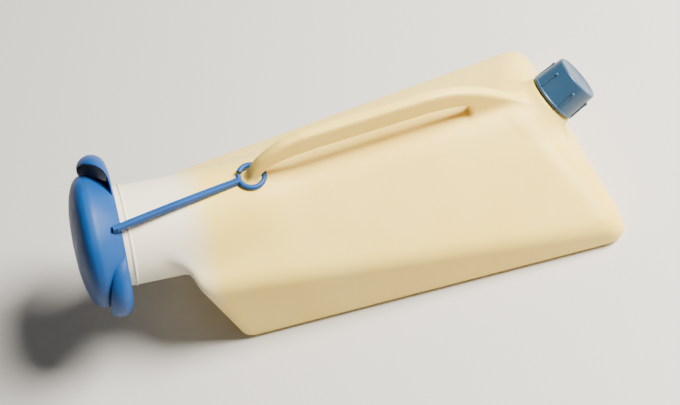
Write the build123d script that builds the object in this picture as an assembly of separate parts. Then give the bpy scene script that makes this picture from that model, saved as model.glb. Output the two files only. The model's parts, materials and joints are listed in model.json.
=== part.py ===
from build123d import *
from math import atan2, cos, radians, sin, tan
import os

# Portable urine bottle, lying on its flat back with the handle up.
# Frame: +X runs from the mouth to the drain cap, +Z is up, Z = 0 is the resting plane and
# Y = 0 is the bottle's plane of symmetry. Millimetres throughout. The model is drawn with
# X = 0 at the heel of the neck end, and every node is moved to the part's origin at the end.

# ---- bottle body: a wedge, tall and narrow at the neck, low and wide at the far end
ORIGIN_X = 81.8            # heel of the neck end to the part's origin
LENGTH = 223.0             # heel of the neck end to the end wall
HALF_WIDTH_NECK = 48.4     # at the base, neck end
HALF_WIDTH_END = 76.1      # at the base, far end
WALL = 1.6                 # blow-moulded wall
WALL_LEAN = 4.5            # degrees the side walls lean inward
FRONT_RAKE = 11.0          # degrees the neck end leans out over its heel
ROOF_SLOPE = 33.8          # degrees either side of the ridge
RIDGE_Z = 83.1             # sharp ridge height over the heel, before rounding
RIDGE_FALL = 4.78          # degrees the ridge drops towards the far end
END_TILT = 32.0            # degrees the sloping end's normal rises above level
END_POINT = (193.0, 60.85)          # x, z of the sloping end under the ridge
RIDGE_RADIUS, FOLD_RADIUS, BASE_RADIUS = 28.0, 8.0, 5.0
NECK_CORNER_RADIUS, END_CORNER_RADIUS = 8.0, 14.0

# ---- neck and mouth
NECK_TILT = 15.64          # degrees the neck rises towards the mouth
NECK_Z = 58.26             # neck axis height over the heel
NECK_RADIUS = 27.5
NECK_LENGTH = 42.6         # heel to the lid's rim, along the neck axis
NECK_FOOT = 12.0           # heel to where the straight neck starts, along the neck axis
LIP_LENGTH = 5.0           # part of the neck that stands inside the lid
BEAD_RADIUS, BEAD_BACK = 28.0, 3.6   # stop bead round the neck, behind the lid's rim
SHOULDER_X, SHOULDER_Z = 62.0, 43.5  # where the neck has run out under the ridge
SHOULDER_HALF_WIDTH, SHOULDER_HALF_HEIGHT = 29.0, 25.0

# ---- handle: a flat fin along the ridge with one long finger gap
HANDLE_THICK, HANDLE_ROUND = 6.4, 1.8

# ---- drain spout and screw cap, square to the sloping end
CAP_AXIS_FOOT = (202.6, 45.5)       # x, z where the cap axis meets the sloping end
CAP_STANDOFF = 8.9         # sloping end to the cap's open rim
BOSS_BASE_RADIUS, BOSS_TOP_RADIUS, BOSS_GAP = 20.0, 15.0, 0.8
BOSS_SINK = 1.5            # depth of the boss's foot below the sloping end
SPOUT_RADIUS, SPOUT_BORE = 11.0, 8.8
CAP_HEIGHT, CAP_TOP_THICK, CAP_BORE = 18.3, 2.0, 12.7
CAP_RIM_RADIUS, CAP_RIM_HEIGHT = 15.5, 1.5
CAP_BASE_RADIUS, CAP_TOP_RADIUS, CAP_EDGE_RADIUS = 14.7, 13.9, 1.2
RIB_COUNT, RIB_LENGTH, RIB_WIDTH, RIB_PROUD = 6, 12.0, 1.1, 0.8
THREAD_PITCH, THREAD_DEPTH, THREAD_ROOT, THREAD_CREST = 3.0, 1.3, 1.3, 0.6
SPOUT_THREAD_START, SPOUT_THREAD_TURNS = 4.5, 1.25
CAP_THREAD_START, CAP_THREAD_TURNS = 6.0, 1.0
LINER_THICK, LINER_RADIUS, LINER_GAP = 1.2, 11.2, 0.05

# ---- lid, its two ears, and the strap with its hook
LID_TURN = 30.0            # degrees the lid is turned about the neck, towards -Y
LID_CLEAR = 0.35           # lid bore to neck
LEAD_IN, LEAD_IN_DEPTH = 0.8, 2.5    # flare at the mouth of the lid's bore
LID_RADIUS, LID_WALL = 36.0, 1.8
SKIRT_RADIUS, SKIRT_DEPTH = 29.6, 11.5   # outside at the rim; rim to the wide edge
CROWN_DEPTH, EDGE_DEPTH = 25.5, 19.0     # rim to the crown; rim to the top of the round edge
EAR_HALF_WIDTH, EAR_HALF_SPAN = 24.0, 49.0
STRAP_SIZE, STRAP_BOW = 3.2, 0.6
HINGE_Z, HINGE_GAP = 2.5, 0.6        # rim to the hinge line; strap end to lug
RING_RADIUS, RING_ROD, RING_SLIT = 7.0, 1.5, 2.0
RING_CENTRE, RING_NORMAL = (37.0, -0.3, 79.4), (0.24, -0.18, 0.95)


def direction(tilt):
    """Unit vector in the XZ plane, tilt degrees above +X."""
    return Vector(cos(radians(tilt)), 0, sin(radians(tilt)))


# Frames with Z out of the mouth and out of the drain spout, and X up the slope.
NECK_AXIS, CAP_AXIS = direction(180 - NECK_TILT), direction(END_TILT)
MOUTH = Vector(0, 0, NECK_Z) + NECK_AXIS * NECK_LENGTH
NECK_FRAME = Plane(origin=MOUTH, x_dir=direction(90 - NECK_TILT), z_dir=NECK_AXIS)
LID_FRAME = Plane(origin=MOUTH, z_dir=NECK_AXIS,
                  x_dir=NECK_FRAME.x_dir * cos(radians(LID_TURN))
                  - NECK_FRAME.y_dir * sin(radians(LID_TURN)))
CAP_RIM = Vector(CAP_AXIS_FOOT[0], 0, CAP_AXIS_FOOT[1]) + CAP_AXIS * CAP_STANDOFF
CAP_FRAME = Plane(origin=CAP_RIM, x_dir=direction(END_TILT + 90), z_dir=CAP_AXIS)


def spin(outline):
    """Solid of revolution about Z from a closed outline in the XZ plane."""
    return revolve(Plane.XZ * make_face(outline), axis=Axis.Z)


def frustum(radius_0, radius_1, z_0, z_1):
    """Cone frustum about Z between two heights."""
    return spin(Polyline((0, z_0), (radius_0, z_0), (radius_1, z_1), (0, z_1), close=True))


# ------------------------------------------------------------------ bottle

def wedge(inset):
    """The body as flat faces, every face moved in by inset."""
    taper = atan2(HALF_WIDTH_END - HALF_WIDTH_NECK, LENGTH)
    lean, rake = radians(WALL_LEAN), radians(FRONT_RAKE)
    faces = [((0, 0, 0), (0, 0, -1)),
             ((0, 0, 0), (-cos(rake), 0, -sin(rake))),
             ((LENGTH, 0, 0), (1, 0, 0)),
             ((END_POINT[0], 0, END_POINT[1]), tuple(CAP_AXIS))]
    for side in (1, -1):
        faces.append(((0, side * HALF_WIDTH_NECK, 0),
                      (-sin(taper) * cos(lean), side * cos(taper) * cos(lean), sin(lean))))
        faces.append(((0, 0, RIDGE_Z),
                      (tan(radians(RIDGE_FALL)), side * tan(radians(ROOF_SLOPE)), 1)))
    body = Pos(LENGTH / 2, 0, 60) * Box(LENGTH + 80, 240, 120)
    for point, normal in faces:
        normal = Vector(*normal).normalized()
        cut = Plane(origin=Vector(*point) - normal * inset, z_dir=normal)
        body = split(body, bisect_by=cut, keep=Keep.BOTTOM)
    return body


def rounded_wedge(inset):
    """The wedge with its ridge, corners, folds and base rounded, in that order."""
    steps = [
        (RIDGE_RADIUS, lambda c: abs(c.Y) < 1 and 40 < c.X < 150 and c.Z > 40),
        (NECK_CORNER_RADIUS, lambda c: abs(c.Y) > 40 and c.X < 2 and 10 < c.Z < 45),
        (END_CORNER_RADIUS, lambda c: c.X > LENGTH - 3 and abs(c.Y) > 70 and c.Z < 12),
        (FOLD_RADIUS, lambda c: c.Z > 9.5 and not (abs(c.Y) < 30 and 40 < c.X < 150)),
        (BASE_RADIUS, lambda c: c.Z < inset + 0.5),
    ]
    body = wedge(inset)
    for radius, test in steps:
        body = fillet([e for e in body.edges() if test(e.center())], radius - inset)
    return body


def shoulder(inset):
    """Neck from inside the body to short of the lid, running out into the ridge."""
    start = Plane(origin=Vector(0, 0, NECK_Z) + NECK_AXIS * NECK_FOOT,
                  x_dir=(0, 1, 0), z_dir=-NECK_AXIS)
    end = Plane(origin=(SHOULDER_X, 0, SHOULDER_Z), x_dir=(0, 1, 0), z_dir=(1, 0, 0))
    return loft([start * Circle(NECK_RADIUS - inset),
                 end * Ellipse(SHOULDER_HALF_WIDTH - inset, SHOULDER_HALF_HEIGHT - inset)])


def handle():
    """Flat fin with a steep narrow foot, a long bar and a tail that runs into the ridge."""
    outline = (Polyline((34.0, 60), (33.9, 75.5))
               + Spline((33.9, 75.5), (36.4, 82.6), (44, 90.0), (57, 96.0), (70, 97.6),
                        tangents=((0, 1), (1, -0.07)))
               + Line((70, 97.6), (138, 91.6))
               + Spline((138, 91.6), (152, 88.6), (164, 82.9), (176, 74.6), (196, 57),
                        tangents=((1, -0.09), (1, -0.9)))
               + Polyline((196, 57), (196, 50), (161.5, 50), (161.5, 70.5))
               + Spline((161.5, 70.5), (152, 75.6), (138, 79.2), tangents=((-1, 0.7), (-1, 0.087)))
               + Line((138, 79.2), (76, 84.6))
               + Spline((76, 84.6), (60, 85.2), (49, 83.4), (42.4, 80.0), (40.2, 74.5),
                        tangents=((-1, 0.087), (0, -1)))
               + Polyline((40.2, 74.5), (40.2, 60), (34.0, 60)))
    plate = extrude(Plane.XZ * make_face(outline), HANDLE_THICK / 2, both=True)
    rims = [e for e in plate.edges() if abs(abs(e.center().Y) - HANDLE_THICK / 2) < 0.01
            and e.center().Z > 62]
    return fillet(rims, HANDLE_ROUND)


def thread(radius, start, turns, outward):
    """Helical ridge about Z: outward from a spout's wall, or inward from a cap's bore."""
    side = 1 if outward else -1
    path = Pos(0, 0, start) * Helix(THREAD_PITCH, THREAD_PITCH * turns, radius)
    buried = radius - side * 0.3
    crest = radius + side * THREAD_DEPTH
    profile = Polyline((buried, start - THREAD_ROOT / 2), (radius, start - THREAD_ROOT / 2),
                       (crest, start - THREAD_CREST / 2), (crest, start + THREAD_CREST / 2),
                       (radius, start + THREAD_ROOT / 2), (buried, start + THREAD_ROOT / 2),
                       close=True)
    return sweep(Plane.XZ * make_face(profile), path=path, is_frenet=True)


def bottle():
    """One hollow shell with its neck, handle, boss and threaded drain spout."""
    lip = NECK_LENGTH + LIP_LENGTH
    foot = NECK_FRAME * Pos(0, 0, NECK_FOOT - NECK_LENGTH)
    neck = foot * extrude(Circle(NECK_RADIUS), lip - NECK_FOOT)
    bore = foot * extrude(Circle(NECK_RADIUS - WALL), lip - NECK_FOOT + 1)
    bead = NECK_FRAME * Pos(0, 0, -BEAD_BACK) * Torus(NECK_RADIUS, BEAD_RADIUS - NECK_RADIUS)
    spout_end = CAP_HEIGHT - CAP_TOP_THICK - LINER_THICK - 2 * LINER_GAP
    boss = CAP_FRAME * frustum(BOSS_BASE_RADIUS, BOSS_TOP_RADIUS,
                               -CAP_STANDOFF - BOSS_SINK, -BOSS_GAP)
    boss_hollow = CAP_FRAME * frustum(BOSS_BASE_RADIUS - WALL, SPOUT_BORE,
                                      -CAP_STANDOFF - BOSS_SINK - 2 * WALL, -BOSS_GAP - 2 * WALL)
    spout = CAP_FRAME * Pos(0, 0, -2) * extrude(Circle(SPOUT_RADIUS), spout_end + 2)
    spout_bore = CAP_FRAME * Pos(0, 0, -12) * extrude(Circle(SPOUT_BORE), spout_end + 14)

    outside = rounded_wedge(0) + shoulder(0) + neck + bead + boss + spout
    inside = rounded_wedge(WALL) + shoulder(WALL) + bore + boss_hollow + spout_bore
    threads = CAP_FRAME * thread(SPOUT_RADIUS, SPOUT_THREAD_START, SPOUT_THREAD_TURNS, True)
    return outside + handle() - inside + threads


# ------------------------------------------------------------------ screw cap

def screw_cap():
    """Cap with a rim bead, six thin grip ribs and one turn of thread inside."""
    shell = spin(Polyline((0, 0), (CAP_RIM_RADIUS, 0), (CAP_RIM_RADIUS, CAP_RIM_HEIGHT),
                          (CAP_BASE_RADIUS, CAP_RIM_HEIGHT), (CAP_TOP_RADIUS, CAP_HEIGHT),
                          (0, CAP_HEIGHT), close=True))
    top_edge = shell.edges().group_by(Axis.Z)[-1]
    shell = fillet(top_edge, CAP_EDGE_RADIUS)
    rib = Pos(CAP_BASE_RADIUS - 0.6, 0, CAP_RIM_HEIGHT - 0.2) * extrude(
        SlotCenterToCenter(1.2 + RIB_PROUD, RIB_WIDTH), RIB_LENGTH)
    for turn in range(RIB_COUNT):
        shell += Rot(0, 0, 360 / RIB_COUNT * turn) * rib
    hollow = Pos(0, 0, -1) * extrude(Circle(CAP_BORE), CAP_HEIGHT - CAP_TOP_THICK + 1)
    return CAP_FRAME * (shell - hollow + thread(CAP_BORE, CAP_THREAD_START, CAP_THREAD_TURNS, False))


def cap_liner():
    """Sealing disc between the spout's end and the inside of the cap."""
    floor = CAP_HEIGHT - CAP_TOP_THICK - LINER_THICK - LINER_GAP
    return CAP_FRAME * Pos(0, 0, floor) * extrude(Circle(LINER_RADIUS), LINER_THICK)


# ------------------------------------------------------------------ lid and strap

def skirt_radius(z):
    """Outside radius of the lid's cone, z from its rim."""
    return SKIRT_RADIUS + (LID_RADIUS - SKIRT_RADIUS) * z / SKIRT_DEPTH


def crown(radius, edge_z, crown_z):
    """Shallow spherical crown as an arc from its edge to the axis."""
    rise = crown_z - edge_z
    sphere = (radius ** 2 + rise ** 2) / (2 * rise)
    halfway = crown_z - sphere + (sphere ** 2 - radius ** 2 / 4) ** 0.5
    return ThreePointArc((radius, edge_z), (radius / 2, halfway), (0, crown_z))


def lid():
    """Mushroom-shaped snap lid with two curled ears and the lug of its strap hinge."""
    bore, seat = NECK_RADIUS + LID_CLEAR, NECK_RADIUS - 1.0
    outer = (Polyline((0, 0), (SKIRT_RADIUS, 0), (LID_RADIUS, SKIRT_DEPTH))
             + ThreePointArc((LID_RADIUS, SKIRT_DEPTH), (LID_RADIUS + 0.2, 15.2),
                             (LID_RADIUS - 2.2, EDGE_DEPTH))
             + crown(LID_RADIUS - 2.2, EDGE_DEPTH, CROWN_DEPTH)
             + Line((0, CROWN_DEPTH), (0, 0)))
    inner = (Polyline((0, -1), (bore + LEAD_IN, -1), (bore + LEAD_IN, 0), (bore, LEAD_IN_DEPTH),
                      (bore, LIP_LENGTH + 0.3), (seat, LIP_LENGTH + 0.3), (seat, 7.2),
                      (LID_RADIUS - 2.2, SKIRT_DEPTH), (LID_RADIUS - 1.8, 14.0),
                      (LID_RADIUS - 4.0, EDGE_DEPTH - 1.2))
             + crown(LID_RADIUS - 4.0, EDGE_DEPTH - 1.2, CROWN_DEPTH - LID_WALL)
             + Line((0, CROWN_DEPTH - LID_WALL), (0, -1)))
    shell = spin(outer) - spin(inner)

    curl = (Spline((28.9, 0), (38, 0.4), (45, 2.6), (48, 7.5), (46.8, 13))
            + Line((46.8, 13), (44.9, 12.7))
            + Spline((44.9, 12.7), (46, 8), (43.6, 4.4), (37.6, 2.4), (28.9, 2.0))
            + Line((28.9, 2.0), (28.9, 0)))
    ear = extrude(Plane.YZ * make_face(curl), EAR_HALF_WIDTH, both=True)
    ear &= extrude(Ellipse(EAR_HALF_WIDTH, EAR_HALF_SPAN), 14)
    lug_foot = skirt_radius(HINGE_Z) - 0.6
    lug_top = skirt_radius(HINGE_Z) + HINGE_GAP + STRAP_SIZE
    lug = Pos((lug_foot + lug_top) / 2, 0, HINGE_Z + HINGE_GAP / 2 + 1.4) * Box(
        lug_top - lug_foot, STRAP_SIZE, 2.8)
    return LID_FRAME * (shell + ear + Rot(0, 0, 180) * ear + lug)


def lid_strap():
    """Square strap from the lid's hinge to an open ring clipped round the handle's foot."""
    level = skirt_radius(HINGE_Z) + HINGE_GAP + STRAP_SIZE / 2
    root = LID_FRAME.from_local_coords(Vector(level, 0, HINGE_Z - HINGE_GAP))
    centre = Vector(*RING_CENTRE)
    ring_frame = Plane(origin=centre, z_dir=RING_NORMAL)
    towards = ring_frame.to_local_coords(root)
    reach = Vector(towards.X, towards.Y, 0).normalized() * RING_RADIUS
    end = ring_frame.from_local_coords(reach)
    middle = (root + end) * 0.5 + Vector(0, 0, STRAP_BOW)
    path = ThreePointArc(root, middle, end)
    across = path.tangent_at(0).cross(Vector(0, 0, 1))
    section = Plane(origin=root, x_dir=across, z_dir=path.tangent_at(0)) * Rectangle(
        STRAP_SIZE, STRAP_SIZE)
    strap = sweep(section, path=path)
    slit_at = Vector(reach.X, reach.Y, 0).rotate(Axis.Z, -35)
    ring = Torus(RING_RADIUS, RING_ROD)
    slit = Plane(origin=slit_at, x_dir=slit_at, z_dir=(0, 0, 1)) * Box(
        4 * RING_ROD, RING_SLIT, 4 * RING_ROD)
    return strap + ring_frame * (ring - slit)


NODES = {"bottle": bottle, "screw_cap": screw_cap, "cap_liner": cap_liner,
         "lid": lid, "lid_strap": lid_strap}

os.makedirs("parts", exist_ok=True)
for node, make in NODES.items():
    solid = Pos(-ORIGIN_X, 0, 0) * make()
    export_step(solid, f"parts/{node}.step")
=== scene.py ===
"""Visual model of a portable urine bottle: blow-moulded body, tethered snap lid and screw drain cap."""

import json
import math

import bmesh
import bpy
import numpy as np
from bpy.props import FloatProperty, FloatVectorProperty, IntProperty, PointerProperty
from mathutils import Matrix, Vector


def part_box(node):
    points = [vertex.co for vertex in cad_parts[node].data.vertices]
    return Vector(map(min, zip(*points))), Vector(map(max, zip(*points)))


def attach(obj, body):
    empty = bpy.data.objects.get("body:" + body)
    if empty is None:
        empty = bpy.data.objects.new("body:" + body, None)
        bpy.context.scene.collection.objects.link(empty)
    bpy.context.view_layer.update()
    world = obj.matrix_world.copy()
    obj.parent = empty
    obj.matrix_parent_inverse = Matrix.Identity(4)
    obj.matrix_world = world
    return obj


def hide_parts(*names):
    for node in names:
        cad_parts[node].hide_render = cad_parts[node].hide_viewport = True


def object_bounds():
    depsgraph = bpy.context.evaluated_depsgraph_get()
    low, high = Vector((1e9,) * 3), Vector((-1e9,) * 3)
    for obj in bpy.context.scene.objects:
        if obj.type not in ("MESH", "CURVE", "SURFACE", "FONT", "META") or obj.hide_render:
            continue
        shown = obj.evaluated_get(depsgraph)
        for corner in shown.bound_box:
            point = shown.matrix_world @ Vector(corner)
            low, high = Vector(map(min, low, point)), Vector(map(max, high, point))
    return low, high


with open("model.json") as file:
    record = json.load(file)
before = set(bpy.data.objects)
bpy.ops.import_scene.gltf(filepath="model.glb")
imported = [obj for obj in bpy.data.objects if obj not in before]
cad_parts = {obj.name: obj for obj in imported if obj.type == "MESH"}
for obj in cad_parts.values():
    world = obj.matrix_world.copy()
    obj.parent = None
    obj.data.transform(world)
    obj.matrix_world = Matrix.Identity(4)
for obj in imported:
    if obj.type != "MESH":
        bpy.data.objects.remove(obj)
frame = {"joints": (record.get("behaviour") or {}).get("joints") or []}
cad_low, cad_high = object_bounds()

bl_info = {
    "name": "Portable urine bottle",
    "version": (1, 0, 0),
    "blender": (4, 5, 0),
    "location": "3D View > Sidebar > Urine bottle",
    "description": "Builds a blow-moulded urine bottle with a tethered lid and a screw drain cap",
    "category": "Add Mesh",
}


def mm(value):
    """Millimetres to Blender's metres."""
    return value * 0.001


def linear(code):
    """An sRGB hex colour such as #F2E4C0 as linear red, green and blue."""
    channels = [int(code[i:i + 2], 16) / 255 for i in (1, 3, 5)]
    return [c / 12.92 if c <= 0.04045 else ((c + 0.055) / 1.055) ** 2.4 for c in channels]


def length_property(name, description, value):
    """A length in metres, given in millimetres."""
    return FloatProperty(name=name, description=description, default=mm(value), unit="LENGTH")


def angle_property(name, description, value):
    """An angle, given in degrees."""
    return FloatProperty(name=name, description=description, default=math.radians(value),
                         subtype="ANGLE")


def colour_property(name, description, code):
    """A colour, given as an sRGB hex code."""
    return FloatVectorProperty(name=name, description=description, subtype="COLOR", size=3,
                               min=0.0, max=1.0, default=linear(code))


# ---------------------------------------------------------------- sizes and colours

class BottleSizes(bpy.types.PropertyGroup):
    """The wedge-shaped body and its neck."""
    length: length_property("Length", "Heel of the neck end to the end wall", 223)
    half_neck_end: length_property("Neck end half width", "At the base", 48.4)
    half_wide_end: length_property("Wide end half width", "At the base", 76.1)
    wall: length_property("Wall", "Thickness of the blow-moulded wall", 1.6)
    wall_lean: angle_property("Wall lean", "How far the side walls lean inward", 4.5)
    front_rake: angle_property("Front rake", "How far the neck end leans over its heel", 11)
    roof_slope: angle_property("Roof slope", "Either side of the ridge", 33.8)
    ridge_height: length_property("Ridge height", "Sharp ridge over the heel", 83.1)
    ridge_fall: angle_property("Ridge fall", "Drop towards the wide end", 4.78)
    slope_x: length_property("Slope X", "Heel to the sloping end's middle", 193)
    slope_z: length_property("Slope Z", "Height of the sloping end's middle", 60.85)
    neck_tilt: angle_property("Neck tilt", "How far the neck rises to the mouth", 15.64)
    neck_height: length_property("Neck height", "Neck axis over the heel", 58.26)
    neck_radius: length_property("Neck radius", "Outside of the neck", 27.5)
    neck_length: length_property("Neck length", "Heel to the lid's rim", 42.6)
    cell: length_property("Mesh step", "Step of the body's mesh", 1.35)


class HandleSizes(bpy.types.PropertyGroup):
    """The fin along the ridge."""
    thickness: length_property("Thickness", "Across the fin", 6.4)
    rounding: length_property("Rounding", "Blend of the fin's edges", 1.8)
    fillet: length_property("Fillet", "Blend of the fin into the body", 4)


class CapSizes(bpy.types.PropertyGroup):
    """The drain spout, its boss and the screw cap."""
    standoff: length_property("Standoff", "Sloping end to the cap's rim", 8.9)
    foot_x: length_property("Foot X", "Heel to where the cap's axis leaves the body", 202.6)
    boss_base: length_property("Boss base", "Radius where the boss leaves the body", 17)
    boss_top: length_property("Boss top", "Radius under the cap", 15)
    spout_radius: length_property("Spout radius", "Outside of the spout", 11)
    spout_bore: length_property("Spout bore", "Inside of the spout", 8.8)
    height: length_property("Cap height", "Rim to top", 18.3)
    rim_radius: length_property("Rim radius", "Bead round the cap's rim", 15.5)
    base_radius: length_property("Base radius", "Cap above its rim bead", 14.7)
    top_radius: length_property("Top radius", "Cap at its top", 13.9)
    bore: length_property("Cap bore", "Inside of the cap", 12.7)
    ribs: IntProperty(name="Ribs", description="Grip ribs round the cap", default=6, min=0)
    pitch: length_property("Thread pitch", "Rise of the thread in one turn", 3)


class LidSizes(bpy.types.PropertyGroup):
    """The snap lid, its two ears and its strap."""
    turn: angle_property("Turn", "How far the lid is turned about the neck", 30)
    rim_radius: length_property("Rim radius", "Outside of the skirt at its rim", 29.6)
    edge_radius: length_property("Edge radius", "Outside of the round edge", 36)
    depth: length_property("Depth", "Rim to the crown", 25.5)
    wall: length_property("Wall", "Thickness of the lid", 1.8)
    far_ear: angle_property("Far ear", "Half of the arc that the far ear covers", 52)
    near_ear: angle_property("Near ear", "Half of the arc that the near ear covers", 62)
    strap: length_property("Strap", "Side of the square strap", 3.2)
    strap_bow: length_property("Strap bow", "Rise of the strap's middle", 0.6)
    ring_radius: length_property("Ring radius", "Middle of the ring's rod", 7)
    ring_rod: length_property("Ring rod", "Radius of the ring's rod", 1.5)


class Colours(bpy.types.PropertyGroup):
    """Colours of the moulded plastics and the stage."""
    bottle: colour_property("Bottle", "Natural polyethylene, thick stretches", "#FFDE76")
    bottle_warm: colour_property("Bottle, aged", "Natural polyethylene that has yellowed", "#FBD462")
    # Paler colour that the bottle blends to towards the mouth.
    neck: colour_property("Neck", "Natural polyethylene, thin and pale", "#F0E6CC")
    lid: colour_property("Lid", "Soft blue polyethylene", "#0F4A8A")
    lid_deep: colour_property("Lid, deep", "Blue polyethylene where it is thick", "#0C407C")
    cap: colour_property("Cap", "Grey-blue polypropylene", "#2A4A66")
    liner: colour_property("Liner", "White foam", "#F2F1EC")
    floor: colour_property("Floor", "Pale floor", "#D0CDC8")


# ---------------------------------------------------------------- places from the frame

def direction(tilt):
    """Unit vector in the bottle's plane of symmetry, tilt above +X."""
    return Vector((math.cos(tilt), 0, math.sin(tilt)))


def placed(origin, x_axis, z_axis):
    """Matrix from a local frame to the bottle's frame."""
    y_axis = z_axis.cross(x_axis)
    return Matrix.Translation(origin) @ Matrix((x_axis, y_axis, z_axis)).transposed().to_4x4()


def joint(name):
    """One of the frame's joints."""
    return next(j for j in frame["joints"] if j["name"] == name)


def cap_frame():
    """Z out of the drain, from the middle of the cap's rim, as the cap's joint says."""
    turn = joint("cap_turn")
    axis = Vector(turn["axis"]).normalized()
    return placed(Vector(turn["pos_m"]), Vector((-axis.z, 0, axis.x)), axis)


def heel(scene):
    """The foot of the neck end, which the body's sizes start from."""
    cap, place = scene.cap_sizes, cap_frame()
    return Vector((place.translation.x - cap.foot_x - cap.standoff * place.col[2].x, 0, 0))


def neck_frame(scene):
    """Z out of the mouth, from the plane of the lid's rim, and X up the neck."""
    sizes = scene.bottle_sizes
    axis = direction(math.pi - sizes.neck_tilt)
    origin = heel(scene) + Vector((0, 0, sizes.neck_height)) + axis * sizes.neck_length
    return placed(origin, direction(math.pi / 2 - sizes.neck_tilt), axis)


def lid_frame(scene):
    """The neck's frame, turned so that X points at the strap's root."""
    return neck_frame(scene) @ Matrix.Rotation(-scene.lid_sizes.turn, 4, "Z")


def local(points, place):
    """Points of the bottle's frame in a local frame."""
    turn = np.array(place.to_3x3())
    return (points - np.array(place.translation)) @ turn


# ---------------------------------------------------------------- mesh helpers

def new_object(name, mesh):
    """An object of the scene, at the origin."""
    piece = bpy.data.objects.new(name, mesh)
    bpy.context.scene.collection.objects.link(piece)
    return piece


def add_shell(build, points, faces, place=Matrix.Identity(4)):
    """Adds points and faces to a bmesh and returns the new vertices."""
    verts = [build.verts.new(place @ Vector(p)) for p in points]
    for face in faces:
        build.faces.new([verts[i] for i in face])
    return verts


def mesh_from(name, shells, place=None, crease=38):
    """One mesh from shells of (points, faces), with normals out and edges past crease left crisp."""
    build = bmesh.new()
    for points, faces in shells:
        add_shell(build, points, faces)
    bmesh.ops.recalc_face_normals(build, faces=build.faces)
    if place:
        build.transform(place)
    return bake(build, name, crease)


def bake(build, name, crease=38):
    """A finished mesh from a bmesh, shaded smooth except at its creases."""
    for face in build.faces:
        face.smooth = True
    for edge in build.edges:
        edge.smooth = edge.calc_face_angle(0) < math.radians(crease)
    mesh = bpy.data.meshes.new(name)
    build.to_mesh(mesh)
    build.free()
    return mesh


def lathe(profile, steps, close=True):
    """Points and faces of a profile of (radius, height) turned about Z."""
    points, rows = [], []
    for radius, height in profile:
        if radius < 1e-7:
            rows.append([len(points)] * steps)
            points.append((0, 0, height))
            continue
        rows.append(list(range(len(points), len(points) + steps)))
        for step in range(steps):
            turn = 2 * math.pi * step / steps
            points.append((radius * math.cos(turn), radius * math.sin(turn), height))
    faces = []
    pairs = list(zip(rows, rows[1:])) + ([(rows[-1], rows[0])] if close else [])
    for low, high in pairs:
        for a in range(steps):
            b = (a + 1) % steps
            face = list(dict.fromkeys([low[a], low[b], high[b], high[a]]))
            if len(face) > 2:
                faces.append(face)
    return points, faces


def curve_through(knots, steps=6):
    """A smooth line through every knot, as an array with steps points to a span."""
    knots = np.array(knots, float)
    ends = np.vstack([2 * knots[0] - knots[1], knots, 2 * knots[-1] - knots[-2]])
    line = []
    for a, b, c, d in zip(ends, ends[1:], ends[2:], ends[3:]):
        for t in np.arange(steps) / steps:
            line.append(0.5 * (2 * b + (c - a) * t + (2 * a - 5 * b + 4 * c - d) * t ** 2
                               + (3 * b - a - 3 * c + d) * t ** 3))
    line.append(knots[-1])
    return np.array(line)


def smooth_max(a, b, blend):
    """The larger of two fields, with the crease between them rounded over blend."""
    return np.maximum(a, b) + np.maximum(blend - np.abs(a - b), 0) ** 2 / (4 * blend)


def smooth_min(a, b, blend):
    """The smaller of two fields, with the corner between them filleted over blend."""
    return -smooth_max(-a, -b, blend)


def surface_net(field, low, high, cell):
    """Quads on the surface where a field of points is zero, one vertex to each cell it crosses."""
    axes = [np.arange(low[a], high[a] + cell, cell) for a in range(3)]
    shape = tuple(len(a) for a in axes)
    grid = np.stack(np.meshgrid(*axes, indexing="ij"), -1).reshape(-1, 3)
    value = field(grid).reshape(shape)
    inside = value < 0

    def shifted(array, offset):
        return array[tuple(slice(o, n - 1 + o) for o, n in zip(offset, shape))]

    corners = sum(shifted(inside, o).astype(int) for o in np.ndindex(2, 2, 2))
    active = (corners > 0) & (corners < 8)
    number = np.full(active.shape, -1)
    number[active] = np.arange(active.sum())
    base = np.argwhere(active)
    total, hits = np.zeros((len(base), 3)), np.zeros(len(base))
    for axis in range(3):
        for sides in np.ndindex(2, 2):
            start = np.insert(sides, axis, 0)
            stop = np.insert(sides, axis, 1)
            first = shifted(value, start)[active]
            second = shifted(value, stop)[active]
            crossing = (first < 0) != (second < 0)
            along = np.where(crossing, first / np.where(crossing, first - second, 1), 0)
            spot = base + start + along[:, None] * (stop - start)
            total[crossing] += spot[crossing]
            hits[crossing] += 1
    points = np.array(low) + total / hits[:, None] * cell

    quads = []
    for axis in range(3):
        b, c = (axis + 1) % 3, (axis + 2) % 3
        near = [slice(1, -1)] * 3
        far = [slice(1, -1)] * 3
        near[axis], far[axis] = slice(0, -1), slice(1, None)
        change = inside[tuple(near)] != inside[tuple(far)]
        at = np.argwhere(change)
        at[:, b] += 1
        at[:, c] += 1
        ring = []
        for step_b, step_c in ((1, 1), (0, 1), (0, 0), (1, 0)):
            cell_at = at.copy()
            cell_at[:, b] -= step_b
            cell_at[:, c] -= step_c
            ring.append(number[tuple(cell_at.T)])
        quad = np.stack(ring, 1)
        flip = ~inside[tuple(near)][change]
        quad[flip] = quad[flip][:, ::-1]
        quads.append(quad)
    return settle(points, field, cell), np.vstack(quads)


def settle(points, field, cell, rounds=3):
    """Points moved along the field's slope onto its surface."""
    step = cell * 0.1
    for _ in range(rounds):
        slope = np.stack([(field(points + d) - field(points - d)) / (2 * step)
                          for d in np.eye(3) * step], -1)
        size = np.maximum((slope ** 2).sum(-1), 0.1)
        move = -(field(points) / size)[:, None] * slope
        points = points + np.clip(move, -cell, cell)
    return points


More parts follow.
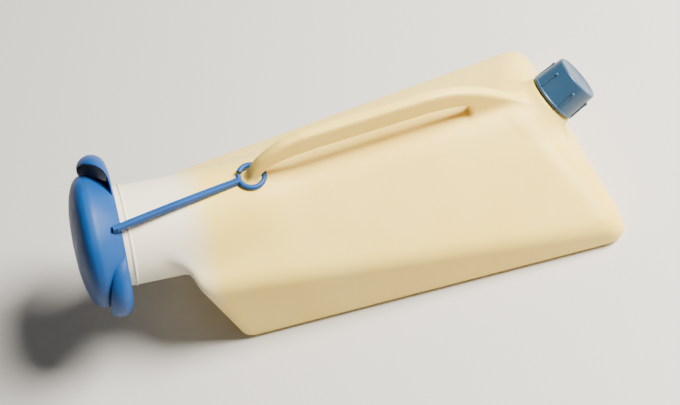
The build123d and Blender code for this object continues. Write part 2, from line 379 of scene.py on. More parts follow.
def thread_ridge(radius, start, turns, outward, pitch, steps=56):
    """Points and faces of a closed helical thread ridge about Z, fading out at both ends."""
    side = 1 if outward else -1
    sunk, depth, root, crest = 0.3, 1.3, 0.65, 0.3
    section = [(-sunk, -root), (0, -root), (depth, -crest), (depth, crest), (0, root),
               (-sunk, root)]
    count = int(steps * turns) + 1
    points, faces = [], []
    for row in range(count):
        turn = 2 * math.pi * turns * row / (count - 1)
        fade = min(1, 8 * row / (count - 1), 8 * (count - 1 - row) / (count - 1))
        for out, up in section:
            reach = radius + side * mm(out if out < 0 else out * fade)
            height = start + pitch * turn / (2 * math.pi) + mm(up)
            points.append((reach * math.cos(turn), reach * math.sin(turn), height))
    size = len(section)
    for row in range(count - 1):
        for k in range(size):
            a, b = row * size + k, row * size + (k + 1) % size
            faces.append([a, b, b + size, a + size])
    faces.append(list(range(size)))
    faces.append([(count - 1) * size + k for k in range(size)])
    return points, faces


# ---------------------------------------------------------------- materials

def node(tree, kind, values=None, links=None, **settings):
    """Adds a node with its settings, input values and links from sockets or nodes' first outputs."""
    made = tree.nodes.new(kind)
    for key, value in settings.items():
        setattr(made, key, value)
    for key, value in (values or {}).items():
        made.inputs[key].default_value = value
    for key, source in (links or {}).items():
        socket = source.outputs[0] if isinstance(source, bpy.types.Node) else source
        tree.links.new(socket, made.inputs[key])
    return made


def new_material(name):
    """An empty node material and its Object coordinates."""
    material = bpy.data.materials.new(name)
    material.use_nodes = True
    tree = material.node_tree
    tree.nodes.clear()
    place = node(tree, "ShaderNodeTexCoord").outputs["Object"]
    return material, tree, place


def per_mm(size):
    """Texture scale for a pattern that repeats about every size millimetres."""
    return 1000.0 / size


def natural_hdpe_blow_moulded(colours, neck):
    """Natural high-density polyethylene, blow moulded: a waxy satin skin that light sinks into a
    little, cream where it is thick and old, blending to a paler colour towards the mouth, and slightly
    uneven."""
    material, tree, place = new_material("Natural HDPE, blow-moulded satin")
    clouds = node(tree, "ShaderNodeTexNoise", {"Scale": per_mm(55), "Detail": 3}, {"Vector": place})
    ageing = node(tree, "ShaderNodeMapRange", {"From Min": 0.3, "From Max": 0.7}, {"Value": clouds})
    aged = node(tree, "ShaderNodeMix", {6: (*colours.bottle, 1), 7: (*colours.bottle_warm, 1)},
                {"Factor": ageing}, data_type="RGBA")
    turn = neck.to_3x3().inverted()
    along = node(tree, "ShaderNodeMapping",
                 {"Location": -(turn @ neck.translation), "Rotation": turn.to_euler()},
                 {"Vector": place})
    out = node(tree, "ShaderNodeSeparateXYZ", links={"Vector": along})
    # Mask that blends to the paler neck colour towards the mouth, along the neck's axis.
    thin = node(tree, "ShaderNodeMapRange", {"From Min": mm(-48), "From Max": mm(-31)},
                {"Value": out.outputs["Z"]})
    colour = node(tree, "ShaderNodeMix", {7: (*colours.neck, 1)},
                  {"Factor": thin, 6: aged.outputs[2]}, data_type="RGBA")
    streaks = node(tree, "ShaderNodeTexNoise", {"Scale": per_mm(18), "Detail": 4},
                   {"Vector": place})
    sheen = node(tree, "ShaderNodeMapRange",
                 {"From Min": 0.3, "From Max": 0.7, "To Min": 0.34, "To Max": 0.46},
                 {"Value": streaks})
    waves = node(tree, "ShaderNodeTexNoise", {"Scale": per_mm(26), "Detail": 1}, {"Vector": place})
    uneven = node(tree, "ShaderNodeBump", {"Strength": 1, "Distance": mm(0.35)}, {"Height": waves})
    skin = node(tree, "ShaderNodeTexNoise", {"Scale": per_mm(0.9)}, {"Vector": place})
    relief = node(tree, "ShaderNodeBump", {"Strength": 1, "Distance": mm(0.012)},
                  {"Height": skin, "Normal": uneven})
    shader = node(tree, "ShaderNodeBsdfPrincipled",
                  {"IOR": 1.54, "Specular IOR Level": 0.35, "Subsurface Weight": 0.15,
                   "Subsurface Scale": mm(3), "Subsurface Radius": (1.0, 0.75, 0.45)},
                  {"Base Color": colour.outputs[2], "Roughness": sheen, "Normal": relief})
    node(tree, "ShaderNodeOutputMaterial", links={"Surface": shader})
    return material


def soft_ldpe_moulded(colours):
    """Blue low-density polyethylene, injection moulded: soft satin with a faint waxy bloom."""
    material, tree, place = new_material("Blue LDPE, injection-moulded satin")
    bloom = node(tree, "ShaderNodeTexNoise", {"Scale": per_mm(22), "Detail": 3}, {"Vector": place})
    tone = node(tree, "ShaderNodeMapRange", {"From Min": 0.3, "From Max": 0.7}, {"Value": bloom})
    colour = node(tree, "ShaderNodeMix", {6: (*colours.lid, 1), 7: (*colours.lid_deep, 1)},
                  {"Factor": tone}, data_type="RGBA")
    rubbed = node(tree, "ShaderNodeTexNoise", {"Scale": per_mm(9), "Detail": 4}, {"Vector": place})
    sheen = node(tree, "ShaderNodeMapRange",
                 {"From Min": 0.3, "From Max": 0.7, "To Min": 0.42, "To Max": 0.56},
                 {"Value": rubbed})
    waves = node(tree, "ShaderNodeTexNoise", {"Scale": per_mm(14), "Detail": 1}, {"Vector": place})
    uneven = node(tree, "ShaderNodeBump", {"Strength": 1, "Distance": mm(0.1)}, {"Height": waves})
    skin = node(tree, "ShaderNodeTexNoise", {"Scale": per_mm(0.8)}, {"Vector": place})
    relief = node(tree, "ShaderNodeBump", {"Strength": 1, "Distance": mm(0.015)},
                  {"Height": skin, "Normal": uneven})
    shader = node(tree, "ShaderNodeBsdfPrincipled",
                  {"IOR": 1.51, "Specular IOR Level": 0.3, "Subsurface Weight": 0.06,
                   "Subsurface Scale": mm(1.5), "Subsurface Radius": (0.4, 0.6, 1.0)},
                  {"Base Color": colour.outputs[2], "Roughness": sheen, "Normal": relief})
    node(tree, "ShaderNodeOutputMaterial", links={"Surface": shader})
    return material


def polypropylene_moulded(colours):
    """Grey-blue polypropylene, injection moulded: harder and a little glossier than the lid."""
    material, tree, place = new_material("Grey-blue PP, injection-moulded")
    clouds = node(tree, "ShaderNodeTexNoise", {"Scale": per_mm(12), "Detail": 3}, {"Vector": place})
    worn = tuple(c * 0.86 for c in colours.cap)
    colour = node(tree, "ShaderNodeMix", {6: (*colours.cap, 1), 7: (*worn, 1)}, {"Factor": clouds},
                  data_type="RGBA")
    rubbed = node(tree, "ShaderNodeTexNoise", {"Scale": per_mm(6), "Detail": 4}, {"Vector": place})
    sheen = node(tree, "ShaderNodeMapRange",
                 {"From Min": 0.3, "From Max": 0.7, "To Min": 0.3, "To Max": 0.42},
                 {"Value": rubbed})
    skin = node(tree, "ShaderNodeTexNoise", {"Scale": per_mm(0.6)}, {"Vector": place})
    relief = node(tree, "ShaderNodeBump", {"Strength": 1, "Distance": mm(0.02)}, {"Height": skin})
    shader = node(tree, "ShaderNodeBsdfPrincipled", {"IOR": 1.49},
                  {"Base Color": colour.outputs[2], "Roughness": sheen, "Normal": relief})
    node(tree, "ShaderNodeOutputMaterial", links={"Surface": shader})
    return material


def pe_foam_pressed(colours):
    """White polyethylene foam, pressed: matte, with closed cells drawn coarse enough to show."""
    material, tree, place = new_material("White PE foam, pressed")
    cells = node(tree, "ShaderNodeTexVoronoi", {"Scale": per_mm(0.7)}, {"Vector": place})
    shaded = tuple(c * 0.9 for c in colours.liner)
    colour = node(tree, "ShaderNodeMix", {6: (*colours.liner, 1), 7: (*shaded, 1)},
                  {"Factor": cells}, data_type="RGBA")
    relief = node(tree, "ShaderNodeBump", {"Strength": 1, "Distance": mm(0.08)}, {"Height": cells})
    shader = node(tree, "ShaderNodeBsdfPrincipled", {"IOR": 1.5, "Roughness": 0.8},
                  {"Base Color": colour.outputs[2], "Normal": relief})
    node(tree, "ShaderNodeOutputMaterial", links={"Surface": shader})
    return material


def painted_floor(colours):
    """Pale painted board: matte, with a faint mottle."""
    material, tree, place = new_material("Pale painted board, matte")
    mottle = node(tree, "ShaderNodeTexNoise", {"Scale": per_mm(60), "Detail": 4}, {"Vector": place})
    shaded = tuple(c * 0.96 for c in colours.floor)
    colour = node(tree, "ShaderNodeMix", {6: (*colours.floor, 1), 7: (*shaded, 1)},
                  {"Factor": mottle}, data_type="RGBA")
    sheen = node(tree, "ShaderNodeMapRange", {"To Min": 0.55, "To Max": 0.7}, {"Value": mottle})
    shader = node(tree, "ShaderNodeBsdfPrincipled", {"IOR": 1.45},
                  {"Base Color": colour.outputs[2], "Roughness": sheen})
    node(tree, "ShaderNodeOutputMaterial", links={"Surface": shader})
    return material


def hand_over(piece, material, body, slot, *nodes):
    """Gives a piece its material, its body and the CAD nodes that it stands for; slot is not used."""
    piece.data.materials.clear()
    piece.data.materials.append(material)
    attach(piece, body)
    if nodes:
        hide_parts(*nodes)


# ---------------------------------------------------------------- bottle

def handle_outline():
    """The handle's side view, from the heel, in millimetres: over the top, then back under."""
    parts = [
        [(34, 60), (33.9, 69)],
        curve_through([(33.9, 75.5), (36.4, 82.6), (44, 90), (57, 96), (70, 97.6)]),
        curve_through([(138, 91.6), (152, 88.6), (164, 82.9), (176, 74.6), (196, 57)]),
        [(196, 50), (161.5, 50), (161.5, 67)],
        curve_through([(161.5, 70.5), (159.5, 73.2), (152, 76.3), (138, 79.2)]),
        curve_through([(76, 84.6), (60, 85.2), (49, 83.4), (42.4, 80), (40.2, 74.5)]),
        [(40.2, 60)],
    ]
    return np.vstack(parts) * 0.001


def outline_distance(points, outline):
    """Signed distance of flat points from a closed outline, negative inside."""
    nearest = np.full(len(points), np.inf)
    inside = np.zeros(len(points), bool)
    for a, b in zip(outline, np.roll(outline, -1, 0)):
        edge, reach = b - a, points - a
        along = np.clip(reach @ edge / (edge @ edge), 0, 1)
        nearest = np.minimum(nearest, np.hypot(*(reach - along[:, None] * edge).T))
        straddles = (a[1] > points[:, 1]) != (b[1] > points[:, 1])
        if a[1] != b[1]:
            at = a[0] + (points[:, 1] - a[1]) * edge[0] / edge[1]
            inside ^= straddles & (points[:, 0] < at)
    return np.where(inside, -nearest, nearest)


def handle_field(points, sizes):
    """The fin: its outline across its thickness, with rounded edges. Points are from the heel."""
    field = np.full(len(points), mm(50))
    near = (np.abs(points[:, 1]) < mm(14)) & (points[:, 2] > mm(45)) & (points[:, 0] > mm(20))
    side_view = outline_distance(points[near][:, [0, 2]], handle_outline())
    thickness = np.abs(points[near][:, 1]) - sizes.thickness / 2
    field[near] = smooth_max(side_view, thickness, sizes.rounding)
    return field


def wedge_field(points, sizes, slope_axis):
    """The body's flat faces, rounded where they meet. Points are from the heel."""
    neck_corners, end_corners, ridge, slope_fold, folds, base = (
        mm(blend) for blend in (7, 14, 19, 11, 5.5, 6))
    x, y, z = points.T

    def face(at, normal, width=y):
        normal = np.array(normal) / np.linalg.norm(normal)
        return (x - at[0]) * normal[0] + (width - at[1]) * normal[1] + (z - at[2]) * normal[2]

    taper = math.atan2(sizes.half_wide_end - sizes.half_neck_end, sizes.length)
    lean, rake = sizes.wall_lean, sizes.front_rake
    side = face((0, sizes.half_neck_end, 0),
                (-math.sin(taper) * math.cos(lean), math.cos(taper) * math.cos(lean),
                 math.sin(lean)), np.abs(y))
    front = face((0, 0, 0), (-math.cos(rake), 0, -math.sin(rake)))
    slope = face((sizes.slope_x, 0, sizes.slope_z), slope_axis)
    roofs = [face((0, 0, sizes.ridge_height),
                  (math.tan(sizes.ridge_fall), way * math.tan(sizes.roof_slope), 1))
             for way in (1, -1)]
    walls = smooth_max(smooth_max(side, front, neck_corners), x - sizes.length, end_corners)
    roof = smooth_max(smooth_max(*roofs, ridge), slope, slope_fold)
    return smooth_max(smooth_max(walls, roof, folds), -z, base)


def shell_field(points, scene):
    """Outside of the hollow part of the bottle: body, neck and boss."""
    sizes, cap = scene.bottle_sizes, scene.cap_sizes
    cap_place = cap_frame()
    from_heel = points - np.array(heel(scene))
    body = wedge_field(from_heel, sizes, tuple(cap_place.col[2])[:3])
    at_neck = local(points, neck_frame(scene))
    buried, run_out, shoulder, boss_foot = sizes.neck_length + mm(66), mm(40), mm(9), mm(8)
    neck = smooth_max(np.hypot(at_neck[:, 0], at_neck[:, 1]) - sizes.neck_radius,
                      -at_neck[:, 2] - buried, run_out)
    at_cap = local(points, cap_place)
    radius = np.hypot(at_cap[:, 0], at_cap[:, 1])
    rise = (at_cap[:, 2] + cap.standoff) / cap.standoff
    cone = radius - (cap.boss_base + (cap.boss_top - cap.boss_base) * rise)
    boss = smooth_max(cone * 0.87, at_cap[:, 2] + mm(0.8), mm(1.5))
    boss = np.maximum(boss, -at_cap[:, 2] - cap.standoff - mm(5))
    return smooth_min(smooth_min(body, neck, shoulder), boss, boss_foot)


def spout_rod(points, radius):
    """A rod along the drain's axis, from inside the body outward."""
    at_cap = local(points, cap_frame())
    return np.maximum(np.hypot(at_cap[:, 0], at_cap[:, 1]) - radius, -at_cap[:, 2] - mm(16))


def cut_open(build, place, height):
    """Cuts a mesh square to a local Z at a height, and drops what is past it."""
    axis = place.to_3x3() @ Vector((0, 0, 1))
    bmesh.ops.bisect_plane(build, geom=build.verts[:] + build.edges[:] + build.faces[:],
                           plane_co=place @ Vector((0, 0, height)), plane_no=axis,
                           clear_outer=True, dist=mm(0.01))


def close_opening(build, place, rims, profile, steps=144):
    """Joins the outer and inner rims of an opening with a turned profile, outside first."""
    verts = add_shell(build, *lathe(profile, steps, close=False), place)
    for rim, row in zip(rims, (verts[:steps], verts[-steps:])):
        ring = [build.edges.get((row[i], row[(i + 1) % steps])) for i in range(steps)]
        bmesh.ops.bridge_loops(build, edges=rim + ring)


def mouth_profile(sizes):
    """The neck's last stretch with its stop bead and rounded lip, then down the bore."""
    outer, bore = sizes.neck_radius, sizes.neck_radius - sizes.wall
    bead = [(outer + mm(0.5) * math.sin(t), mm(-3.6) - mm(0.8) * math.cos(t))
            for t in np.linspace(0, math.pi, 9)]
    lip = [(outer, mm(4.1)), (outer - mm(0.15), mm(4.65)), (outer - mm(0.5), mm(4.95)),
           (outer - mm(1.1), mm(4.95)), (bore + mm(0.15), mm(4.65)), (bore, mm(4.1))]
    return [(outer, mm(-11.2)), (outer, mm(-7)), *bead, (outer, mm(-1)), *lip,
            (bore, mm(-2)), (bore, mm(-11.2))]


def spout_profile(cap):
    """The drain spout from the boss to its rounded end, then down the bore."""
    end, wide, tight = cap.height - mm(3.3), cap.spout_radius, cap.spout_bore
    return [(wide, mm(1.8)), (wide, end - mm(0.5)), (wide - mm(0.5), end),
            (tight + mm(0.4), end), (tight, end - mm(0.4)), (tight, mm(1.8))]


def add_wall(build, shell, cuts, inner):
    """Adds a wall cut open at both ends, and returns the edges round the mouth and the drain."""
    points, quads = shell
    wall = bmesh.new()
    add_shell(wall, points, (quads[:, ::-1] if inner else quads).tolist())
    for place, height in cuts:
        cut_open(wall, place, height)
    loose = bpy.data.meshes.new("wall")
    wall.to_mesh(loose)
    wall.free()
    before = set(build.edges)
    build.from_mesh(loose)
    bpy.data.meshes.remove(loose)
    rim = [e for e in build.edges if e not in before and e.is_boundary]
    return ([e for e in rim if e.verts[0].co.x < 0], [e for e in rim if e.verts[0].co.x >= 0])


def bottle_mesh(scene):
    """Outer and inner walls, joined round the mouth and round the drain spout."""
    sizes, cap, handle = scene.bottle_sizes, scene.cap_sizes, scene.handle_sizes
    foot = heel(scene)
    low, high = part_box("bottle")
    start = np.array([foot.x - mm(44), low.y - mm(4), low.z - mm(4)])
    stop = np.array([high.x - mm(1), high.y + mm(4), high.z + mm(4)])

    def outside(points):
        fin = handle_field(points - np.array(foot), handle)
        body = smooth_min(shell_field(points, scene), fin, handle.fillet)
        return smooth_min(body, spout_rod(points, cap.spout_radius), mm(1))

    def inside(points):
        hollow = shell_field(points, scene) + sizes.wall
        return smooth_min(hollow, spout_rod(points, cap.spout_bore), mm(2))

    neck, drain = neck_frame(scene), cap_frame()
    cuts = [(neck, -mm(12)), (drain, mm(1))]
    build = bmesh.new()
    outer = add_wall(build, surface_net(outside, start, stop, sizes.cell), cuts, False)
    inner = add_wall(build, surface_net(inside, start, stop, sizes.cell * 1.6), cuts, True)
    close_opening(build, neck, (outer[0], inner[0]), mouth_profile(sizes))
    close_opening(build, drain, (outer[1], inner[1]), spout_profile(cap), 72)
    bmesh.ops.recalc_face_normals(build, faces=build.faces)
    ridge = thread_ridge(cap.spout_radius, mm(4.5), 1.25, True, cap.pitch)
    thread = mesh_from("thread", [ridge], drain)
    build.from_mesh(thread)
    bpy.data.meshes.remove(thread)
    return bake(build, "bottle_shell", 50)


# ---------------------------------------------------------------- lid and strap

def lid_profile(sizes):
    """Closed section of the lid: skirt, round edge and crown, then back inside."""
    rim, edge, depth = sizes.rim_radius, sizes.edge_radius, sizes.depth
    skirt = [(rim - mm(1.3), mm(0.4)), (rim - mm(0.9), 0), (rim - mm(0.35), 0),
             (rim, mm(0.4)), (rim + mm(3), mm(5.4))]
    knots = [(edge - mm(0.9), mm(9.9)), (edge + mm(0.1), mm(12.4)), (edge + mm(0.2), mm(14.6)),
             (edge - mm(0.3), mm(16.8)), (edge - mm(2.1), mm(19.1)), (edge - mm(5.6), mm(21.2)),
             (edge - mm(12), mm(23.3)), (edge - mm(22), depth - mm(0.6)), (0, depth)]
    outside = skirt + [tuple(p) for p in curve_through(knots, 5)]
    outside[-1] = (0, depth)
    wall = sizes.wall
    knots = [(0, depth - wall), (edge - mm(22), depth - wall - mm(0.6)),
             (edge - mm(12), mm(23.3) - wall), (edge - mm(6.4), mm(19.5)),
             (edge - mm(2.6), mm(16.4)), (edge - mm(1.9), mm(13.6)), (edge - mm(2.6), mm(11.2))]
    inside = [tuple(p) for p in curve_through(knots, 5)]
    inside[0] = (0, depth - wall)
    seat, bore, stop = mm(26.6), mm(27.85), mm(5.3)
    return outside + inside + [(seat, mm(7.2)), (seat, stop), (bore, stop), (bore, mm(2.5))]


def ear_shell(sizes, curl, length, side, half_angle, hug, widest=49, longest=24):
    """A leaf that springs from the rim and curls back: a closed shell, thin towards its edge.
    Away from its middle it is cut shorter, or with hug at 1 drawn in smaller."""
    line = curve_through(curl, 8) * 0.001
    run = np.insert(np.cumsum(np.hypot(*np.diff(line, axis=0).T)), 0, 0)
    across = np.sin(np.linspace(-math.pi / 2, math.pi / 2, widest))
    out = np.sin(np.linspace(0, math.pi / 2, longest))
    root = sizes.rim_radius - mm(0.7)
    corners, fan, half_thickness = 0.34, 0.45, mm(0.95)
    middle = np.zeros((widest, longest, 3))
    for i, s in enumerate(across):
        turn = s * half_angle
        taper = max(1 - s * s, 0) ** corners
        reach, scale = length * taper ** (1 - hug), taper ** hug
        away = np.array([math.sin(turn) * fan, 1.0]) / math.hypot(math.sin(turn) * fan, 1.0)
        for j, t in enumerate(out):
            along = t * reach
            radial = (np.interp(along, run, line[:, 0]) - line[0, 0]) * scale
            rise = (np.interp(along, run, line[:, 1]) - line[0, 1]) * scale + line[0, 1]
            flat = root * np.array([math.sin(turn), math.cos(turn)]) + away * radial
            middle[i, j] = (flat[0], side * flat[1], rise)
    du, dv = np.gradient(middle, axis=0), np.gradient(middle, axis=1)
    normal = np.cross(du, dv)
    normal /= np.maximum(np.linalg.norm(normal, axis=2, keepdims=True), 1e-12)
    edge = np.sqrt(np.clip(1 - np.abs(across)[:, None] ** 6, 0, 1))
    half = half_thickness * edge * np.sqrt(np.clip(1 - out[None] ** 8, 0, 1))
    points = np.vstack([(middle + normal * half[..., None]).reshape(-1, 3),
                        (middle - normal * half[..., None]).reshape(-1, 3)])
    faces, back = [], widest * longest
    for i in range(widest - 1):
        for j in range(longest - 1):
            a, b = i * longest + j, (i + 1) * longest + j
            faces.append([a, b, b + 1, a + 1])
            faces.append([back + a, back + a + 1, back + b + 1, back + b])
        a, b = i * longest, (i + 1) * longest
        faces.append([a, back + a, back + b, b])
    return points, faces


def weld(shell, gap=1e-6):
    """A shell with its doubled points merged and its flat slivers gone."""
    build = bmesh.new()
    add_shell(build, *shell)
    bmesh.ops.remove_doubles(build, verts=build.verts, dist=gap)
    bmesh.ops.dissolve_degenerate(build, edges=build.edges, dist=gap)
    build.verts.index_update()
    made = [v.co[:] for v in build.verts], [[v.index for v in f.verts] for f in build.faces]
    build.free()
    return made


def empty_tree(name, inputs):
    """A Geometry Nodes tree with a geometry in and out, and its named inputs by their kind."""
    tree = bpy.data.node_groups.new(name, "GeometryNodeTree")
    for label, kind in {"Geometry": "Geometry", **inputs}.items():
        tree.interface.new_socket(label, in_out="INPUT", socket_type="NodeSocket" + kind)
    tree.interface.new_socket("Geometry", in_out="OUTPUT", socket_type="NodeSocketGeometry")
    return tree


def swept_rod_tree():
    """Geometry Nodes: a rod with a rounded square section along the mesh line that it is given."""
    tree = empty_tree("Swept rod", {"Side": "Float", "Corner": "Float", "Material": "Material"})
    given = node(tree, "NodeGroupInput").outputs
    line = node(tree, "GeometryNodeMeshToCurve", links={"Mesh": given["Geometry"]})
    square = node(tree, "GeometryNodeCurvePrimitiveQuadrilateral",
                  links={"Width": given["Side"], "Height": given["Side"]})
    rounded = node(tree, "GeometryNodeFilletCurve", {"Count": 5},
                   {"Curve": square, "Radius": given["Corner"]}, mode="POLY")
    rod = node(tree, "GeometryNodeCurveToMesh", {"Fill Caps": True},
               {"Curve": line, "Profile Curve": rounded})
    whole = node(tree, "GeometryNodeRealizeInstances", links={"Geometry": rod})
    coated = node(tree, "GeometryNodeSetMaterial",
                  links={"Geometry": whole, "Material": given["Material"]})
    node(tree, "NodeGroupOutput", links={"Geometry": coated})
    return tree


def run_tree(name, mesh, tree, inputs):
    """The plain mesh that a Geometry Nodes tree makes of a mesh, with named inputs."""
    piece = new_object(name, mesh)
    modifier = piece.modifiers.new(tree.name, "NODES")
    modifier.node_group = tree
    sockets = {s.name: s.identifier for s in tree.interface.items_tree if s.in_out == "INPUT"}
    for key, value in inputs.items():
        modifier[sockets[key]] = value
    bpy.context.view_layer.update()
    ready = piece.evaluated_get(bpy.context.evaluated_depsgraph_get())
    made = bpy.data.meshes.new_from_object(ready)
    bpy.data.objects.remove(piece)
    return made


def line_mesh(name, points):
    """A mesh line through points."""
    mesh = bpy.data.meshes.new(name)
    mesh.from_pydata([tuple(p) for p in points], [(i, i + 1) for i in range(len(points) - 1)], [])
    return mesh


def join_meshes(name, meshes, crease=38):
    """Several finished meshes as one, with normals out."""
    build = bmesh.new()
    for mesh in meshes:
        build.from_mesh(mesh)
    bmesh.ops.remove_doubles(build, verts=build.verts, dist=1e-7)
    bmesh.ops.recalc_face_normals(build, faces=build.faces)
    return bake(build, name, crease)


def strap_root(scene, depth):
    """A point on the middle line of the strap at its hinge, depth out from the lid's rim."""
    sizes = scene.lid_sizes
    place = lid_frame(scene)
    level = (place.inverted() @ Vector(joint("lid_flip")["pos_m"])).x - sizes.strap / 2
    return place @ Vector((level, 0, depth))


# ---------------------------------------------------------------- cap

def cap_profile(cap):
    """Closed section of the screw cap: rim bead, leaning wall, rounded top, then back inside."""
    top, inner, edge = cap.height, cap.height - mm(2), mm(1.2)
    round_edge = [(cap.top_radius - edge * (1 - math.sin(t)), top - edge * (1 - math.cos(t)))
                  for t in np.linspace(math.pi / 2, 0, 8)]
    return [(cap.bore + mm(0.3), 0), (cap.rim_radius - mm(0.3), 0),
            (cap.rim_radius, mm(0.35)), (cap.rim_radius, mm(1.15)),
            (cap.rim_radius - mm(0.25), mm(1.45)), (cap.base_radius + mm(0.1), mm(1.6)),
            (cap.base_radius, mm(2)), *round_edge,
            (cap.top_radius - mm(2.0), top), (cap.top_radius - mm(2.4), top - mm(0.25)),
            (0, top - mm(0.25)), (0, inner), (cap.bore, inner), (cap.bore, mm(0.4))]


def rib_shell(cap, steps=26, around=14):
    """One thin grip rib that follows the cap's lean and ends in a small round knob."""
    points, faces = [], []
    start, stop = mm(1.2), mm(13.2)
    half_width, proud, sunk, knob = mm(0.6), mm(1.05), mm(0.25), 0.75
    for i in range(steps):
        t = i / (steps - 1)
        height = start + (stop - start) * (0.5 - 0.5 * math.cos(math.pi * t))
        near_top = math.exp(-((height - (stop - mm(1.1))) / mm(0.9)) ** 2)
        swell = 1 + knob * near_top
        end = math.sqrt(max(1 - (2 * t - 1) ** 12, 0.0))
        lean = (cap.top_radius - cap.base_radius) * height / cap.height
        for k in range(around):
            turn = 2 * math.pi * k / around
            out = cap.base_radius + lean - sunk + proud * swell ** 0.5 * end * math.cos(turn)
            points.append((out, half_width * swell * end * math.sin(turn), height))
    for i in range(steps - 1):
        for k in range(around):
            a, b = i * around + k, i * around + (k + 1) % around
            faces.append([a, b, b + around, a + around])
    return points, faces


def ring_of_ribs_tree():
    """Geometry Nodes: copies of the given rib at even steps about Z."""
    tree = empty_tree("Ring of ribs", {"Count": "Int", "Material": "Material"})
    given = node(tree, "NodeGroupInput").outputs
    spots = node(tree, "GeometryNodePoints", links={"Count": given["Count"]})
    index = node(tree, "GeometryNodeInputIndex")
    share = node(tree, "ShaderNodeMath", links={0: index, 1: given["Count"]}, operation="DIVIDE")
    turn = node(tree, "ShaderNodeMath", {1: 2 * math.pi}, {0: share}, operation="MULTIPLY")
    spin = node(tree, "ShaderNodeCombineXYZ", links={"Z": turn})
    ribs = node(tree, "GeometryNodeInstanceOnPoints",
                links={"Points": spots, "Instance": given["Geometry"], "Rotation": spin})
    whole = node(tree, "GeometryNodeRealizeInstances", links={"Geometry": ribs})
    coated = node(tree, "GeometryNodeSetMaterial",
                  links={"Geometry": whole, "Material": given["Material"]})
    node(tree, "NodeGroupOutput", links={"Geometry": coated})
    return tree


# ---------------------------------------------------------------- operators

class MakeBottle(bpy.types.Operator):
    """Blow-moulded bottle with its neck, handle, drain boss and spout"""
    bl_idname = "urine_bottle.bottle"
    bl_label = "Bottle"

    def execute(self, context):
        scene = context.scene
        piece = new_object("bottle_shell", bottle_mesh(scene))
        material = natural_hdpe_blow_moulded(scene.colours, neck_frame(scene))
        hand_over(piece, material, "bottle_body", "bottle", "bottle")
        return {"FINISHED"}


class MakeLid(bpy.types.Operator):
    """Snap lid with two curled ears and the root of its strap"""
    bl_idname = "urine_bottle.lid"
    bl_label = "Lid"

    def execute(self, context):
        scene = context.scene
        sizes = scene.lid_sizes
        # Radius and distance from the lid's rim, in millimetres.
        far_curl = [(28.9, 0.9), (37, 1.2), (42.8, 3), (45.4, 7.4), (44.6, 12), (41.6, 15.2),
                    (38.2, 16.4)]
        near_curl = [(28.9, 0.9), (35, 1), (39.8, 2.4), (42, 5.6), (41.6, 9.4), (39.6, 12.8)]
        shells = [lathe(lid_profile(sizes), 128),
                  weld(ear_shell(sizes, far_curl, mm(31), 1, sizes.far_ear, 0)),
                  weld(ear_shell(sizes, near_curl, mm(23.4), -1, sizes.near_ear, 1))]
        body = mesh_from("lid_body", shells, lid_frame(scene))
        material = soft_ldpe_moulded(scene.colours)
        root = [strap_root(scene, mm(d)) for d in (2.5, 3.4, 4.3)]
        block = run_tree("strap_root", line_mesh("strap_root", root), swept_rod_tree(),
                         {"Side": sizes.strap, "Corner": mm(0.5), "Material": material})
        piece = new_object("snap_lid", join_meshes("snap_lid", [body, block]))
        hand_over(piece, material, "lid_body", "lid", "lid")
        return {"FINISHED"}


class MakeStrap(bpy.types.Operator):
    """Square strap and the open ring that clips round the handle"""
    bl_idname = "urine_bottle.strap"
    bl_label = "Strap"

    def execute(self, context):
        scene = context.scene
        sizes = scene.lid_sizes
        root = strap_root(scene, mm(2.5))
        centre = heel(scene) + Vector((mm(37), mm(-0.3), mm(79.4)))
        up = Vector((0.24, -0.18, 0.95)).normalized()
        towards = root - centre
        towards = (towards - up * towards.dot(up)).normalized()
        ring_place = placed(centre, towards, up)
        end = ring_place @ Vector((sizes.ring_radius, 0, 0))
        spots = np.linspace(0, 1, 33)
        bar = [root.lerp(end, t) + Vector((0, 0, 4 * sizes.strap_bow * t * (1 - t))) for t in spots]
        gap, opening = mm(2), math.radians(-35)
        slit = math.asin(0.5 * gap / sizes.ring_radius)
        turns = np.linspace(opening + slit, opening + 2 * math.pi - slit, 73)
        ring = [ring_place @ Vector((sizes.ring_radius * math.cos(t),
                                     sizes.ring_radius * math.sin(t), 0)) for t in turns]
        material = bpy.data.materials["Blue LDPE, injection-moulded satin"]
        rods = [("strap_bar", bar, sizes.strap, mm(0.5)),
                ("strap_ring", ring, 2 * sizes.ring_rod, sizes.ring_rod * 0.95)]
        tree = swept_rod_tree()
        meshes = [run_tree(name, line_mesh(name, line), tree,
                           {"Side": side, "Corner": corner, "Material": material})
                  for name, line, side, corner in rods]
        piece = new_object("strap", join_meshes("strap", meshes))
        hand_over(piece, material, "bottle_body", "lid", "lid_strap")
        return {"FINISHED"}


class MakeCap(bpy.types.Operator):
    """Screw cap with its rim bead, grip ribs and inner thread"""
    bl_idname = "urine_bottle.cap"
    bl_label = "Screw cap"

    def execute(self, context):
        cap = context.scene.cap_sizes
        material = polypropylene_moulded(context.scene.colours)
        thread = thread_ridge(cap.bore, mm(6), 1.0, False, cap.pitch)
        body = mesh_from("cap_body", [lathe(cap_profile(cap), 96), thread])
        rib = mesh_from("rib", [weld(rib_shell(cap))])
        ribs = run_tree("ribs", rib, ring_of_ribs_tree(),
                        {"Count": cap.ribs, "Material": material})
        mesh = join_meshes("drain_cap", [body, ribs])
        mesh.transform(cap_frame())
        piece = new_object("drain_cap", mesh)
        hand_over(piece, material, "cap_body", "cap", "screw_cap")
        return {"FINISHED"}


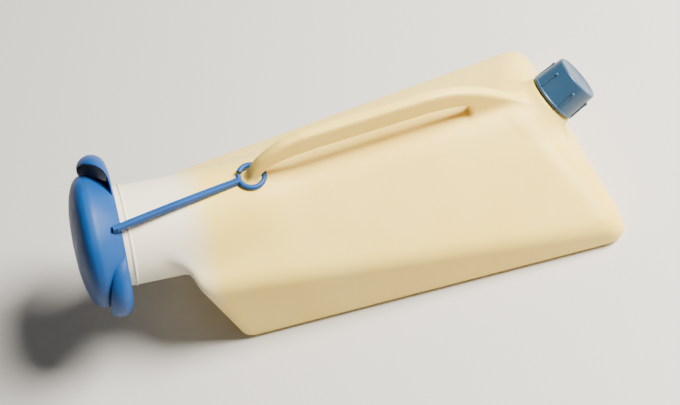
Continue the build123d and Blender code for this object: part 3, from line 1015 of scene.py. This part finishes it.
class MakeLiner(bpy.types.Operator):
    """Foam sealing disc, pressed against the end of the spout"""
    bl_idname = "urine_bottle.liner"
    bl_label = "Cap liner"

    def execute(self, context):
        cap = context.scene.cap_sizes
        low = cap.height - mm(3.25)
        pressed, edge = mm(10), mm(11.2)
        profile = [(0, low), (mm(8.6), low), (mm(8.9), low + mm(0.1)), (pressed, low + mm(0.1)),
                   (edge - mm(0.2), low), (edge, low + mm(0.2)), (edge, low + mm(1)),
                   (edge - mm(0.2), low + mm(1.2)), (0, low + mm(1.2))]
        mesh = mesh_from("seal_disc", [lathe(profile, 64, close=False)], cap_frame())
        piece = new_object("seal_disc", mesh)
        hand_over(piece, pe_foam_pressed(context.scene.colours), "liner_body", "liner", "cap_liner")
        return {"FINISHED"}


class MakeStage(bpy.types.Operator):
    """Pale floor, soft lights and the camera"""
    bl_idname = "urine_bottle.stage"
    bl_label = "Stage"

    def execute(self, context):
        scene = context.scene
        half = 2.5
        corners = [(-half, -half, 0), (half, -half, 0), (half, half, 0), (-half, half, 0)]
        floor = new_object("floor", mesh_from("floor", [(corners, [(0, 1, 2, 3)])]))
        floor.data.materials.append(painted_floor(scene.colours))
        middle = (cad_low + cad_high) / 2
        # Name, place from the object's middle, diameter, power and colour.
        lights = [("key", (0.9, -0.08, 1.0), 0.65, 86, (1.0, 0.97, 0.9)),
                  ("fill", (0.6, -1.0, 0.7), 0.9, 1.2, (0.97, 0.98, 1.0)),
                  ("rim", (0.3, 1.2, 0.6), 0.6, 1.5, (1.0, 0.98, 0.95))]
        for name, spot, size, power, colour in lights:
            lamp = bpy.data.lights.new(name, "AREA")
            lamp.shape, lamp.size, lamp.energy, lamp.color = "DISK", size, power, colour
            holder = new_object(name, lamp)
            holder.location = middle + Vector(spot)
            holder.rotation_euler = (-Vector(spot)).to_track_quat("-Z", "Y").to_euler()
        world = bpy.data.worlds.new("soft room")
        world.use_nodes = True
        backdrop = world.node_tree.nodes["Background"].inputs
        backdrop["Color"].default_value = (0.9, 0.93, 1.0, 1)
        backdrop["Strength"].default_value = 0.09
        scene.world = world
        azimuth, elevation, roll = (math.radians(a) for a in (-2.56, 54.5, -18.44))
        back = Vector((math.sin(azimuth) * math.cos(elevation),
                       -math.cos(azimuth) * math.cos(elevation), math.sin(elevation)))
        target = heel(scene) + Vector((mm(77.6), mm(-1.92), mm(30)))
        distance = mm(603.6)
        camera = bpy.data.cameras.new("camera")
        camera.sensor_width, camera.lens = 36, 55.6
        camera.clip_start, camera.clip_end = 0.01, 20
        holder = new_object("camera", camera)
        aim = (-back).to_track_quat("-Z", "Y").to_matrix().to_4x4()
        holder.matrix_world = (Matrix.Translation(target + back * distance) @ aim
                               @ Matrix.Rotation(roll, 4, "Z"))
        scene.camera = holder
        return {"FINISHED"}


class BottlePanel(bpy.types.Panel):
    """Sizes, colours and pieces of the urine bottle"""
    bl_idname = "VIEW3D_PT_urine_bottle"
    bl_label = "Urine bottle"
    bl_space_type = "VIEW_3D"
    bl_region_type = "UI"
    bl_category = "Urine bottle"

    def draw(self, context):
        for group in PROPERTY_GROUPS:
            box = self.layout.box()
            values = getattr(context.scene, group)
            for name in values.bl_rna.properties.keys():
                if name not in ("rna_type", "name"):
                    box.prop(values, name)
        for operator in OPERATORS:
            self.layout.operator(operator.bl_idname)


PROPERTY_GROUPS = {"bottle_sizes": BottleSizes, "handle_sizes": HandleSizes,
                   "cap_sizes": CapSizes, "lid_sizes": LidSizes, "colours": Colours}
OPERATORS = (MakeStage, MakeBottle, MakeLid, MakeStrap, MakeCap, MakeLiner)


def register():
    for name, group in PROPERTY_GROUPS.items():
        bpy.utils.register_class(group)
        setattr(bpy.types.Scene, name, PointerProperty(type=group))
    for made in (*OPERATORS, BottlePanel):
        bpy.utils.register_class(made)


def unregister():
    for made in (BottlePanel, *reversed(OPERATORS)):
        bpy.utils.unregister_class(made)
    for name, group in reversed(PROPERTY_GROUPS.items()):
        delattr(bpy.types.Scene, name)
        bpy.utils.unregister_class(group)


def main():
    register()
    bpy.ops.urine_bottle.stage()
    bpy.ops.urine_bottle.bottle()
    bpy.ops.urine_bottle.lid()
    bpy.ops.urine_bottle.strap()
    bpy.ops.urine_bottle.cap()
    bpy.ops.urine_bottle.liner()


if __name__ == "__main__":
    main()
